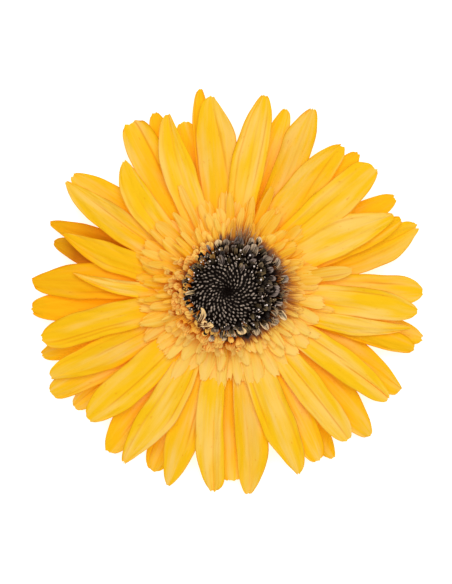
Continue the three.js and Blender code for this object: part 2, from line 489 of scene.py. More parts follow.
def set_out(origin, out, sideways, up, angle):
    """Points set out from an origin along a heading in radians, and sideways to its left, at heights."""
    x = origin[0] + out * np.cos(angle) - sideways * np.sin(angle)
    y = origin[1] + out * np.sin(angle) + sideways * np.cos(angle)
    return np.stack((x, y, up), axis=-1)


class RayPath:
    """The middle line of a ray petal, read from its plain solid."""

    SEAT = 0.35  # how far the base goes on, to sit on the receptacle
    origin = (0.0, 0.0)

    def __init__(self, name):
        points = node_points(name)
        heading = math.atan2(points[:, 1].mean(), points[:, 0].mean())
        radius = np.hypot(points[:, 0], points[:, 1])
        angle = heading + wrapped(np.arctan2(points[:, 1], points[:, 0]) - heading)
        aside = radius * (angle - np.polyval(np.polyfit(radius, angle, 2), radius))
        self.width = 2 * np.abs(aside).max()
        middle = np.abs(aside) < 0.1 * self.width
        self.base = radius[middle].min() - self.SEAT
        self.reach = radius[middle].max()
        self.angles = np.polyfit(radius[middle], angle[middle], 2)
        self.heights = np.polyfit(radius[middle], points[middle, 2], 2)

    def __call__(self, share):
        radius = self.base + (self.reach - self.base) * share
        return radius, np.polyval(self.heights, radius), np.polyval(self.angles, radius)


class BentPath:
    """A middle line that rises from a foot and bends outwards to a tip, each a radius and a height."""

    def __init__(self, foot, bend, tip, angle, turn=0.0, origin=(0.0, 0.0)):
        self.corners = np.array([foot, bend, tip], float)
        self.angle = math.radians(angle)
        self.turn = math.radians(turn)
        self.origin = origin
        self.reach = np.abs(np.diff(self.corners, axis=0)).sum()

    def __call__(self, share):
        weights = ((1 - share) ** 2, 2 * share * (1 - share), share**2)
        radius, height = (sum(w * c for w, c in zip(weights, line)) for line in self.corners.T)
        return radius, height, self.angle + self.turn * share**2


@dataclass
class Crease:
    """A lengthwise fold: a line from the base of a petal to its tip, from -1 to 1 across."""

    base: float
    tip: float
    depth: float = 0.0  # below the surface, or above it where negative
    span: tuple = (-0.2, 1.2)  # the part of the length where it is seen
    tone: float = 0.0  # how strongly its line is darkened, as painted crease shade

    def line(self, share):
        return self.base + (self.tip - self.base) * share

    def strength(self, share):
        start, stop = self.span
        return eased(share, start - 0.08, start + 0.12) * (1 - eased(share, stop - 0.12, stop + 0.08))


@dataclass
class Blade:
    """How a petal differs from a flat strap. A pair is for its right side and its left."""

    width: float
    thickness: float
    foot: float | tuple = 0.3  # width at the base, as a share of the greatest width
    widest: float | tuple = 0.62  # share of the length
    sides: float | tuple = 1.0  # fullness
    blunt: float | tuple = 0.3  # 0 for a pointed tip and 1 for a square one
    longer: float = 0.0
    teeth: int = 0  # lobes of the tip, 0 for none
    notch: float = 0.0  # depth of the notches between them
    skew: float = 0.0  # how far the tip is cut back on the left side
    creases: tuple = ()
    ragged: float = 0.0  # how uneven the tip is
    wander: float = 0.0  # how uneven the edges are, as a share of the half width
    cup: float = 0.0  # how far the edges stand above the middle
    roll: float | tuple = 0.0  # how far the edges roll up
    roll_from: float = 0.7  # where that begins, as a share of the half width
    bank: float = 0.0  # tilt about the length, the left edge up
    sway: float = 0.0  # how far the middle of the length bows to the left
    arch: float = 0.0  # how far the middle of the length rises
    lift: float = 0.0  # how far the tip rises
    wave: float = 0.0  # height of the waves of the edges
    dents: float = 0.0  # height of the dents that run aslant across it
    warmth: float = 0.0
    # dusk: painted shade on a ray petal; a darker tone that differs at random on a short petal; how pale the
    # lip, bristle or strip of a floret is
    dusk: float = 0.0
    smoke: float = 0.0
    throat: float = 0.0  # radius within which a short petal is painted near black, as shade under the florets
    seed: float = 0.0


def sided(side, value):
    """A value, or from a pair the value of each side."""
    return np.where(side < 0, *np.broadcast_to(value, 2))


def width_share(blade, share, side):
    """The half width at each point, as a share of the greatest half width."""
    blunt = sided(side, blade.blunt)
    widest = sided(side, blade.widest)
    foot = sided(side, blade.foot)
    rise = foot + (1 - foot) * np.sin(math.pi / 2 * np.clip(share / widest, 0, 1))
    end = 0.08 + 0.5 * blunt**1.5
    beyond = np.clip((share - widest) / (1 - widest), 0, 1)
    fall = end + (1 - end) * (1 - beyond ** (1.3 + 2.2 * blunt)) ** (1 / (1.1 + 1.1 * blunt))
    return sided(side, blade.sides) * rise * fall


def uneven(place, seed, pace=1.0):
    """A smooth uneven curve between -1 and 1, without a period that shows."""
    turns = 2 * math.pi * (place * pace + 7.3 * seed)
    slower, quicker = np.sin(1.83 * turns + 11 * seed), np.sin(3.37 * turns + 5 * seed)
    return (np.sin(turns) + 0.6 * slower + 0.4 * quicker) / 2


def creased_grid(blade, rows, columns):
    """The share, side, height and line tone, the painted crease shade, of each point of a grid with a column
    along each crease.
    """
    steps = np.linspace(0, 1, rows + 1)
    shares = 1 - (1 - steps) ** 1.25
    lines = [Crease(-1, -1), *blade.creases, Crease(1, 1)]
    sides = np.array([line.line(shares) for line in lines])
    strengths = np.array([line.strength(shares) for line in lines])
    depths = -strengths * np.array([[line.depth] for line in lines])
    anchors = np.round((sides.mean(axis=1) + 1) / 2 * columns).astype(int)
    column = np.arange(columns + 1)
    side = np.array([np.interp(column, anchors, row) for row in sides.T])
    height = np.array([np.interp(column, anchors, row) for row in depths.T])
    tone = np.zeros_like(side)
    tone[:, anchors] = (strengths * np.array([[line.tone] for line in lines])).T
    return np.repeat(shares[:, None], columns + 1, axis=1), side, height, tone


def relief(blade, share, side, height):
    """The height of the surface above its middle line, apart from rolled edges."""
    grown = eased(share, 0.0, 0.25)
    ripple = uneven(share + 0.11 * side, blade.seed, 1.7)
    pleat = uneven(side + 0.16 * uneven(share, blade.seed, 0.8), blade.seed, 1.4)
    dent = uneven(share + 0.3 * side, blade.seed + 0.4, 3.6)
    height = (height + blade.cup * side**2) * grown
    height = height + blade.wave * ripple * (0.35 + side**2) * eased(share, 0.1, 0.6)
    height = height + 0.012 * blade.width * pleat * grown
    height = height + blade.dents * dent * (0.4 + np.abs(side)) * grown
    return height + blade.arch * np.sin(math.pi * share) + blade.lift * share**4


def tip_cut(blade, side):
    """How far the end of a petal is cut back at each point across it."""
    lobes = 0.5 + 0.5 * np.cos(blade.teeth * math.pi * (side + 1)) if blade.teeth else 0 * side
    corner = 0.15 * blade.width * sided(side, blade.blunt) * side**4
    torn = uneven(side, blade.seed, 1.1) + 0.3 * uneven(side, blade.seed + 0.3, 3.1)
    return corner + blade.ragged * torn + blade.notch * lobes + blade.skew * side - blade.longer


def blade_middle(blade, path, share, side, height):
    """The middle surface of a petal."""
    half = blade.width / 2 * width_share(blade, share, side)
    half = half * (1 + blade.wander * uneven(share, blade.seed + 0.5 * np.sign(side), 1.3))
    beyond = np.clip((np.abs(side) - blade.roll_from) / (1 - blade.roll_from), 0, 1)
    roll = np.radians(sided(side, blade.roll)) * eased(share, 0.05, 0.45)
    roll = np.maximum(np.abs(roll), 0.01) * np.where(roll < 0, -1, 1)
    bend_radius = (1 - blade.roll_from) * half / roll
    flat = np.minimum(np.abs(side), blade.roll_from) * half
    reach = flat + bend_radius * np.sin(roll * beyond)
    full = blade.roll_from * half + bend_radius * np.sin(roll)
    sideways = np.sign(side) * reach * half / full
    raised = relief(blade, share, side, height) + bend_radius * (1 - np.cos(roll * beyond))
    raised = raised + math.tan(math.radians(blade.bank)) * sideways
    sideways = sideways + blade.sway * np.sin(math.pi * share)
    cut = tip_cut(blade, side) * eased(share, 0.55, 1.0) / path.reach
    return surface_points(path, share - cut, sideways, raised)


def surface_points(path, share, sideways, raised):
    """Points beside a path, along the surface, and above it, along its normal."""
    radius, height, angle = path(share)
    next_radius, next_height, _ = path(share + 0.01)
    length = np.hypot(next_radius - radius, next_height - height)
    out = radius - raised * (next_height - height) / length
    up = height + raised * (next_radius - radius) / length
    return set_out(path.origin, out, sideways, up, angle)


def grid_faces(rows, columns):
    """The faces between the points of a grid, as rows of four indices."""
    corner = (np.arange(rows)[:, None] * (columns + 1) + np.arange(columns)[None, :]).ravel()
    return np.stack((corner, corner + 1, corner + columns + 2, corner + columns + 1), axis=1)


def closed_faces(rows, columns):
    """The faces of a thin closed plate: its top, its underside and its rim."""
    top = grid_faces(rows, columns)
    under = (rows + 1) * (columns + 1)
    width = columns + 1
    near, right = np.arange(columns), np.arange(rows) * width + columns
    far, left = rows * width + np.arange(columns, 0, -1), np.arange(rows, 0, -1) * width
    rim = np.concatenate((near, right, far, left))
    ahead = np.roll(rim, -1)
    wall = np.stack((rim, rim + under, ahead + under, ahead), axis=1)
    return np.concatenate((top, top[:, ::-1] + under, wall))


def grid_values(*values):
    """A triple of values for each point of a grid, and again for each point of its underside."""
    return np.tile(np.stack(np.broadcast_arrays(*values), axis=-1).reshape(-1, 3), (2, 1))


SMOKE_REACH = (11.5, 18.5)  # radii between which the dusky bases of the short petals fade out
THROAT_FADE = (-1.6, 2.6)  # where the painted shade, near black, at their throats fades, from the throat's radius


def smoke_and_throat_shade(blade, radius):
    """How dusky a petal is at each radius. A short petal is near black at its throat: painted shade where it
    runs in under the florets.
    """
    if not blade.throat:
        return np.full_like(radius, blade.smoke)
    smoke = blade.smoke * (1 - eased(radius, *SMOKE_REACH))
    return np.maximum(smoke, 1 - eased(radius - blade.throat, *THROAT_FADE))


def add_blade(sheaf, blade, path, grid):
    """Adds one closed thin petal to a sheaf, with rows and columns of faces."""
    share, side, height, fold = creased_grid(blade, *grid)
    middle = blade_middle(blade, path, share, side, height)
    middle[..., 2] = np.maximum(middle[..., 2], blade.thickness / 2)  # it lies flat where it meets the floor
    normal = np.cross(np.gradient(middle, axis=0), np.gradient(middle, axis=1))
    normal /= np.linalg.norm(normal, axis=-1, keepdims=True)
    edge = 1 - 0.75 * np.abs(side) ** 3
    end = 1 - 0.6 * share**3
    half = (blade.thickness / 2 * edge * end)[..., None] * normal
    points = np.concatenate(((middle + half).reshape(-1, 3), (middle - half).reshape(-1, 3)))
    smoke = smoke_and_throat_shade(blade, np.hypot(middle[..., 0], middle[..., 1]))
    place = grid_values(side, share, blade.seed)
    tint = grid_values(blade.warmth, blade.dusk, smoke)
    sheaf.add(points, closed_faces(*grid), place, tint, np.tile(fold.ravel(), 2))


def turned_points(outline, count):
    """Points of an outline of radii and heights, turned round the upright axis."""
    angles = 2 * math.pi * np.arange(count) / count
    radius, height = np.array(outline, float).T[..., None]
    rings = (radius * np.cos(angles), radius * np.sin(angles), np.repeat(height, count, axis=1))
    return np.stack(rings, axis=-1).reshape(-1, 3)


def turned_faces(rings, count):
    """The faces between the rings of a turned shape whose first and last rings are closed by points."""
    ring = np.arange(rings - 1)[:, None] * count
    step = np.arange(count)[None, :]
    ahead = (step + 1) % count
    corners = (ring + step, ring + ahead, ring + count + ahead, ring + count + step)
    return np.stack(corners, axis=-1).reshape(-1, 4)


def add_turned(sheaf, points, count, values, tint, fold=0.0):
    """Adds a turned shape to a sheaf."""
    sheaf.add(points, turned_faces(len(points) // count, count), values, tint, fold)


def turned_values(outline, count, seed):
    """How far round, from -1 to 1, and how high each point of a turned shape is, and its seed."""
    around = np.tile(np.linspace(-1, 1, count), len(outline))
    along = np.repeat(np.array(outline)[:, 1], count)
    return np.stack((around, along, np.full_like(along, seed)), axis=1)


def leaning(points, angle, lean, turn, place):
    """Turns upright points about their foot, leans them outwards, and sets them at a place."""
    spun = set_out((0, 0), points[:, 0], points[:, 1], points[:, 2], math.radians(turn))
    tilt = math.radians(lean)
    out = spun[:, 0] * math.cos(tilt) + spun[:, 2] * math.sin(tilt)
    up = spun[:, 2] * math.cos(tilt) - spun[:, 0] * math.sin(tilt)
    return set_out(place, out, spun[:, 1], place[2] + up, math.radians(angle))


def grow_rows(rows, add, ending, material):
    """Makes one piece of each row of like petals, with a function that adds one petal."""
    for row in rows:
        chance = Chance(row.node)
        sheaf = Sheaf()
        for number in range(row.count):
            add(sheaf, row, number, chance)
        sheaf.make(row.node + ending, material, row.node)


# Ray petals

RAY_GRID = (56, 22)
RAY_FULLNESS = 1.06  # width of a ray petal, as a share of its plain solid's
RAY_PAINTED_SHADE = 0.1  # how much painted shade a ray petal gets for each millimetre that it lies lower, under the petals above it
RAY_NAMES = sorted(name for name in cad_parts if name.startswith("ray_petal_"))


def ray(blunt, sides=1, widest=0.58, warmth=0.3, **others):
    """One row of the table of ray petals, with the usual values of what it leaves out."""
    return dict(blunt=blunt, sides=sides, widest=widest, warmth=warmth, **others)


# What sets each ray petal apart from a usual one, in the order of their plain solids.
# Where a ray petal is given dusk, that is painted shade, as it lies in the shade of the petals above it.
RAY_CHARACTERS = (
    ray((0.5, 0.6), (1, 1.03), (0.6, 0.7), 0.25),
    ray((0.2, 0.8), (1.04, 0.9), (0.8, 0.6), 0.2, foot=(0.3, 0.5), teeth=2, notch=0.4),
    ray(0.4, warmth=0.5),
    ray((0.25, 0), (0.76, 1.25), (0.55, 0.52), 0.05),
    ray((0.8, 0.45), (1, 0.85), warmth=0.6, longer=0.4, skew=-0.2),
    ray((0.4, 0.9), widest=(0.62, 0.85), sway=-1.2, teeth=2, notch=0.3, skew=0.3),
    ray(0.6, warmth=0.6),
    ray((0.6, 0.4), (1.2, 0.92), (0.4, 0.5), teeth=2, notch=0.3),
    ray((0.4, 0.15), (0.85, 1), (0.6, 0.75), 0.25, sway=-1.5, skew=0.3),
    ray((0.6, 0.2)),
    ray((0.4, 0.2), (0.88, 1), (0.62, 0.52), 0.15, longer=0.2),
    ray((0, 0.6), (1.18, 0.92), (0.72, 0.62), 0.15, skew=-0.3, longer=0.2),
    ray((0.1, 0.6), (1, 0.95), (0.58, 0.6), 0.35, longer=0.2),
    ray((0.9, 0.7), warmth=0.4, longer=0.6),
    ray((0, 0.45), (0.85, 1), (0.55, 0.65), 0.2, roll=(0, 60)),
    ray((0.4, 0.6), warmth=0.6),
    ray((1, 0.95), (1.1, 1.05), teeth=2, notch=0.7, longer=0.6),
    ray((0.3, 0.35), (0.92, 1), (0.6, 0.7), 0.25, foot=(0.3, 0.4), longer=0.2),
    ray((0.2, 0.7), (1.17, 1), (0.65, 0.6), 0.25, longer=0.5),
    ray((0, 0.3), (0.85, 0.87), (0.68, 0.65), 0.15, foot=(0.35, 0.5), longer=0.4),
    ray((0.3, 0.05), (0.96, 0.95), warmth=0.8, dusk=1, longer=0.6, skew=0.5),
    ray(0.4, warmth=0.85, dusk=2.6),
    ray((0.1, 0), (0.92, 0.87), 0.6, 0.6),
    ray((0.05, 0.8), (1.1, 1), (0.62, 0.6), 0.85, longer=0.2, skew=0.3),
    ray((0.1, 0), (0.9, 1.1), (0.55, 0.45), 0.1),
    ray(0.6, warmth=0.8, dusk=0.1, longer=0.5),
    ray((0.4, 0.75), (0.92, 1.05), (0.7, 0.75), 0.45, foot=0.65, longer=0.3),
    ray((0.35, 0.5), warmth=0.4),
    ray((0.7, 0), (0.9, 0.95), 0.6, 0.2, foot=(0.6, 0.3), longer=0.2),
    ray((0.6, 1)),
    ray((0.5, 0.6), warmth=0.2),
    ray((0.6, 0.5), (1.3, 0.9), (0.55, 0.6), teeth=2, notch=0.3),
    ray((0.3, 0.7), (1.25, 1), (0.7, 0.6)),
    ray((0.2, 0), (1.35, 1.02), (0.6, 0.62), 0.15, foot=(0.5, 0.1), longer=0.2),
    ray(0.7, (1.15, 1), warmth=0.35),
    ray((0.25, 0.1), (1, 0.96), (0.6, 0.72), 0.05, longer=0.2),
    ray((0.3, 0.6), (1.13, 0.78), (0.62, 0.9), 0.1, foot=(0.5, 0.35), sway=-0.5),
    ray(0.8, 1.1, warmth=0.2),
    ray((0.6, 0.1), (0.66, 1.17), 0.7, 0, foot=(0.2, 0.35), longer=0.1),
    ray((0, 0.45), (1, 1.15), (0.68, 0.6), 0, longer=0.1),
    ray(0.6, warmth=0.15),
    ray((0.6, 0.2), warmth=0.4),
    ray((0.65, 0.6), (0.93, 1), (0.65, 0.6), 0),
    ray((0.6, 0.2), (1, 1.37), (0.58, 0.68), 0.25),
    ray((0.6, 0.35), (0.93, 0.95), (0.65, 0.5), 0.05, foot=(0.3, 0.5), longer=0.1),
    ray((0.8, 0.05), (1, 1.15), (0.58, 0.65)),
    ray((0.8, 0.7), (0.56, 1), 0.6, 0.55),
    ray((0, 0.3), (0.9, 0.95), 0.6, 0.15),
    ray(0.5, longer=0.4),
    ray((0.6, 0.3), (1.1, 0.88), (0.65, 0.68), 0.1, foot=(0.5, 0.4)),
)

# The creases that stand out, by the number of the petal that they cross.
RAY_CREASES = {
    1: (Crease(-0.4, -0.3, 0.3, (0.1, 0.8), 0.3), Crease(0.7, 0.4, 0.4, (0.6, 0.86), 0.9)),
    2: (Crease(-0.45, -0.2, 0.4, (0.3, 0.9), 0.4), Crease(0.3, 0.1, 0.3, (0.72, 1.1), 0.6)),
    4: (Crease(-0.3, -0.2, 0.3, (0.3, 0.9), 0.2), Crease(0.5, 0.8, -0.6, (0.2, 0.8), 0.5)),
    8: (Crease(-0.95, -0.05, 0.4, (0.5, 0.95), 0.6), Crease(0.4, 0.3, -0.3, (0.1, 0.9))),
    12: (Crease(-0.95, -0.05, 0.4, (0.45, 0.92), 0.7), Crease(0.3, 0.4, -0.4, (0.1, 0.9))),
    17: (Crease(-0.05, -0.4, 0.6, (0.4, 1.2), 0.9), Crease(0.5, 0.5, -0.3, (0.3, 1.0))),
    20: (Crease(-0.05, -0.35, 0.5, (0.0, 0.78), 0.7), Crease(0.4, 0.2, -0.4, (0.2, 1.1))),
    27: (Crease(0.42, 0.5, 0.35, (0.35, 0.98), 0.7), Crease(0.62, 0.72, 0.2, (0.4, 0.9), 0.6)),
    32: (Crease(0.05, 0.05, 0.45, (0.25, 0.86), 0.7), Crease(0.5, 0.6, -0.3, (0.2, 0.9))),
    36: (Crease(0.3, 0.42, 0.3, (0.48, 0.72), 0.9), Crease(0.55, 0.7, 0.25, (0.5, 0.68), 1.0)),
    45: (
        Crease(-0.4, -0.35, -0.3, (0.65, 0.96)),
        Crease(-0.15, 0.1, 0.4, (0.62, 1.1), 0.9),
        Crease(0.25, 0.2, 0.4, (0.3, 0.62), 0.9),
    ),
}


def usual_ray(number, path, below, settings):
    """A ray petal as most are, with its own creases and curl, some way below the topmost ones."""
    chance = Chance(number)
    return Blade(
        width=path.width * RAY_FULLNESS,
        thickness=settings.thickness / MM,
        foot=0.52,
        creases=RAY_CREASES.get(number) or usual_creases(chance, settings.crease_depth / MM, 3),
        ragged=chance.uniform(0.1, 0.4),
        wander=0.07,
        cup=chance.uniform(-0.2, 0.25),
        roll=chance.pair(-25, 45),
        bank=chance.uniform(-3, 3),
        wave=chance.uniform(0.1, 0.28),
        dents=chance.uniform(0.06, 0.2),
        arch=chance.uniform(-0.1, 0.3),
        lift=chance.uniform(-0.2, 0.4),
        dusk=RAY_PAINTED_SHADE * below,
        seed=chance.random(),
    )


def usual_creases(chance, depth, count):
    """Creases spread across a petal, valleys and ridges in turn."""
    creases = []
    turn = chance.choice((-1, 1))
    for number in range(count):
        middle = -1 + 2 * (number + chance.uniform(0.35, 0.65)) / count
        start = chance.uniform(-0.2, 0.5)
        crease = Crease(
            base=0.8 * middle + chance.uniform(-0.08, 0.08),
            tip=middle + chance.uniform(-0.1, 0.1),
            depth=turn * depth * chance.uniform(0.4, 1.0),
            span=(start, start + chance.uniform(0.4, 0.9)),
            tone=chance.uniform(0.2, 0.8) if turn > 0 else chance.uniform(0.0, 0.3),
        )
        creases.append(crease)
        turn = -turn
    return tuple(creases)


class GERBERA_OT_ray_petals(bpy.types.Operator):
    """Grows the long petals round the rim, each along the middle line of its plain solid"""

    bl_idname = "gerbera.ray_petals"
    bl_label = "Ray petals"

    def execute(self, context):
        settings = context.scene.gerbera_rays
        material = ray_paint(settings)
        paths = [RayPath(name) for name in RAY_NAMES]
        highest = max(path(0)[1] for path in paths)
        rays = zip(RAY_NAMES, paths, RAY_CHARACTERS, strict=True)
        for number, (name, path, character) in enumerate(rays, start=1):
            blade = usual_ray(number, path, highest - path(0)[1], settings)
            sheaf = Sheaf()
            add_blade(sheaf, replace(blade, **character), path, RAY_GRID)
            sheaf.make(name + "_veined", material, name)
        return {"FINISHED"}


# Short petals

SHORT_GRID = (20, 8)


@dataclass
class Row:
    """One row of short petals. Its foot and its tips come from its plain solid."""

    node: str
    bend: tuple
    count: int
    reach: tuple  # the least and greatest share of the way to the plain tips
    width: tuple
    blunt: tuple = (0.4, 1.3)
    turn: float = 0.0

    def __post_init__(self):
        points = node_points(self.node)
        radius, height = np.hypot(points[:, 0], points[:, 1]), points[:, 2]
        near = radius < radius.min() + 0.6
        far = radius > radius.max() - 0.5
        self.foot = (radius[near].mean(), height[near].min())
        self.tip = (radius[far].mean(), height[far].mean())


SHORT_PETAL_ROWS = (
    Row("short_petals_outer_row", (10.5, 14.2), 66, (0.79, 0.87), (2.1, 3.4), (0.8, 1.3)),
    Row("short_petals_second_row", (9.6, 15.6), 66, (0.72, 0.98), (1.7, 3.1), turn=5),
    Row("short_petals_third_row", (8.7, 17.3), 74, (0.7, 0.98), (1.4, 2.6), turn=2),
    Row("short_petals_inner_row", (7.7, 18.8), 84, (0.84, 1.12), (0.9, 1.5), turn=7),
)

# The longest petals of the outer row: angle, reach and width.
LONG_SHORT_PETALS = (
    (9.5, 28.0, 3.0), (47, 25.3, 1.8), (66.5, 25.0, 2.0), (80, 22.4, 2.6), (92, 22.0, 2.8),
    (114.5, 25.7, 1.8), (136, 20.6, 3.8), (158, 22.4, 2.5), (172, 20.5, 2.8), (212, 22.4, 2.6),
    (238, 23.0, 2.8), (266, 22.4, 2.6), (300, 22.0, 2.8), (317, 23.5, 1.9), (333, 23.0, 2.4),
    (349.5, 24.2, 1.5),
)

# How amber the short petals are at an angle: most at the upper right and on the left.
SHORT_WARMTH = (
    (0, 0.45), (40, 1.0), (75, 0.9), (105, 0.6), (135, 0.85), (180, 1.0),
    (215, 0.5), (250, 0.1), (285, 0.1), (320, 0.2), (345, 0.4),
)


def smoke_at_top(angle):
    """How much of the dusky tuft at the top there is at an angle."""
    return hump(angle, 76, 12)


def smoke_at(angle):
    """How dusky the short petals are at an angle: most on the right and at the top."""
    return max(hump(angle, -2, 38), smoke_at_top(angle))


def short_place(row, number, chance):
    """The angle, reach, width and turn of one short petal of a row."""
    angle = row.turn + 360 * (number + chance.uniform(-0.5, 0.5)) / row.count
    reach = row.tip[0] * chance.uniform(*row.reach)
    width = chance.uniform(*row.width)
    if row is not SHORT_PETAL_ROWS[0]:
        reach = reach * (1 - 0.18 * hump(angle, 272, 45, 4))
    else:
        nearest = min(LONG_SHORT_PETALS, key=lambda long: apart(long[0], angle))
        if apart(nearest[0], angle) < 180 / row.count:
            return *nearest, 0.0
    return angle, reach, width, chance.uniform(-6, 6)


def add_short_petal(sheaf, row, number, chance):
    """Adds one short petal of a row."""
    angle, reach, width, turn = short_place(row, number, chance)
    bend = np.array(row.bend) + (chance.uniform(-0.1, 0.3), chance.uniform(-0.2, 0.1))
    tip = (reach, row.tip[1] + chance.uniform(-1.4, -0.7))
    path = BentPath(row.foot, bend, tip, angle, turn)
    blade = Blade(
        width=width,
        thickness=bpy.context.scene.gerbera_short.thickness / MM,
        foot=0.5,
        widest=chance.pair(0.6, 0.84),
        blunt=chance.pair(*row.blunt),
        teeth=chance.choice((2, 3, 4)),
        notch=chance.uniform(0.15, 0.45),
        creases=usual_creases(chance, 0.22, chance.choice((1, 2))),
        ragged=0.35,
        wander=0.2,
        cup=chance.uniform(-0.25, 0.15),
        roll=chance.pair(-30, 40),
        roll_from=0.5,
        bank=chance.uniform(-10, 10),
        sway=chance.uniform(-0.3, 0.3),
        wave=chance.uniform(0.05, 0.25),
        lift=chance.uniform(-0.4, 0.2),
        warmth=np.interp(angle, *zip(*SHORT_WARMTH), period=360) + chance.uniform(-0.15, 0.25),
        dusk=chance.uniform(0.0, 0.2),
        smoke=0.62 * smoke_at(angle) * chance.uniform(0.6, 1.0),
        throat=floret_zone(angle)[1] + chance.uniform(-0.5, 0.5),
        seed=chance.random(),
    )
    add_blade(sheaf, blade, path, SHORT_GRID)


class GERBERA_OT_short_petals(bpy.types.Operator):
    """Grows the rows of short petals between the rim and the disc"""

    bl_idname = "gerbera.short_petals"
    bl_label = "Short petals"

    def execute(self, context):
        material = short_paint(context.scene.gerbera_short)
        grow_rows(SHORT_PETAL_ROWS, add_short_petal, "_veined", material)
        return {"FINISHED"}


# Disc

DISC_TOP = node_points("disc_buds")
BUD_REACH = 8.9
BUD_CROWDING = 1.12  # more than 1 where the buds stand closer towards the middle
BUD_HEIGHT = 1.1
BUD_SEAT = 0.55  # how deep the foot of a bud lies in the dome
BUD_STRETCH = (1.4, 0.8, 1)  # a bud is longer one way than the other
BUD_TURN = 32  # from the heading of its place to its longer way
BUD_FACETS = 8
BUD_OUTLINE = ((0.0, 0.0), (0.3, 0.0), (0.4, 0.35), (0.36, 0.65), (0.25, 0.86), (0.12, 0.97), (0.0, 1.0))
EYE = (-0.25, -0.3)  # the dark middle of the spiral, from the axis
BED_FACETS = 40
BED_DEPTH = 0.4  # how far the bed of the buds lies under the dome


def dome_height(radius):
    """The height of the dome of buds at a radius, from its plain solid."""
    reach = np.hypot(DISC_TOP[:, 0], DISC_TOP[:, 1])
    rim_height = DISC_TOP[reach > reach.max() - 0.1, 2].mean()
    top = DISC_TOP[:, 2] >= rim_height - 0.05
    order = np.argsort(reach[top])
    return float(np.interp(radius, reach[top][order], DISC_TOP[top, 2][order]))


def add_bud(sheaf, number, count, chance):
    """Adds one closed bud of the spiral."""
    share = math.sqrt((number + 0.5) / count) ** BUD_CROWDING
    radius = BUD_REACH * share + chance.uniform(-0.11, 0.11)
    angle = number * GOLDEN_ANGLE + chance.uniform(-1, 1) * (5 - 4 * share)
    size = (0.66 + 0.3 * min(1, share * 1.6)) * chance.uniform(0.88, 1.1)
    outline = np.array(BUD_OUTLINE) * (size, BUD_HEIGHT * (0.5 + 0.5 * share) * chance.uniform(0.9, 1.1))
    points = turned_points(outline, BUD_FACETS) * BUD_STRETCH
    x, y, height = at(radius, angle, dome_height(radius) - BUD_SEAT)
    place = (x + EYE[0] * (1 - share), y + EYE[1] * (1 - share), height)
    points = leaning(points, angle, 26 * share - 12, BUD_TURN + chance.uniform(-15, 15), place)
    values = turned_values(BUD_OUTLINE, BUD_FACETS, chance.random())
    # how strongly the pale tip, partly painted highlight, shows; it fades out towards the middle
    brightness = chance.uniform(0.15, 0.95) * min(1, max(0, (radius - 1.0) / 1.8))
    add_turned(sheaf, points, BUD_FACETS, values, (brightness, 0, 0))


def add_bud_bed(sheaf):
    """Adds the dark bed that the buds stand on, down to the receptacle."""
    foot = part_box("disc_buds")[0].z / MM
    outline = [(0.0, foot), (4.7, foot), (5.5, 16.0), (7.4, 18.5)]
    outline += [(radius, dome_height(radius) - BED_DEPTH) for radius in (6.8, 5.7, 4.4, 3.0, 1.8, 0.8, 0.0)]
    add_turned(sheaf, turned_points(outline, BED_FACETS), BED_FACETS, (0, 0, 0.5), (0, 0, 0))


class GERBERA_OT_disc_buds(bpy.types.Operator):
    """Sets the closed buds in their spiral on the dome"""

    bl_idname = "gerbera.disc_buds"
    bl_label = "Disc buds"

    def execute(self, context):
        settings = context.scene.gerbera_disc
        chance = Chance("buds")
        sheaf = Sheaf()
        add_bud_bed(sheaf)
        for number in range(settings.bud_count):
            add_bud(sheaf, number, settings.bud_count, chance)
        sheaf.make("disc_buds_spiral", bud_paint(settings), "disc_buds")
        return {"FINISHED"}


# Open florets

FLORET_GRID = (14, 6)
BRISTLE_GRID = (6, 2)
BRISTLE_REACH = 3.2  # how much further the bristles of the tuft at the top go
CURL_FACETS = 7
GRAIN_FACETS = 6
DARK_FLORETS = 230
DARK_FLORET_TURN = 137.5  # from each dark floret to the next
WIDE_ZONE = 5.5  # where the zone is narrower than this, fewer of them spread across it
ORANGE_FLORETS = 90
BRISTLES = 520
SMALL_GRAINS = 110

# Where the open florets stand: angle, inner radius and outer radius.
FLORET_ZONE = np.array((
    (0, 6.8, 12.4), (45, 6.4, 12.2), (90, 5.6, 11.2), (135, 7.4, 9.8), (180, 8.2, 10.2),
    (225, 8.0, 9.4), (255, 7.8, 11.0), (275, 7.8, 10.8), (315, 7.2, 11.5),
))

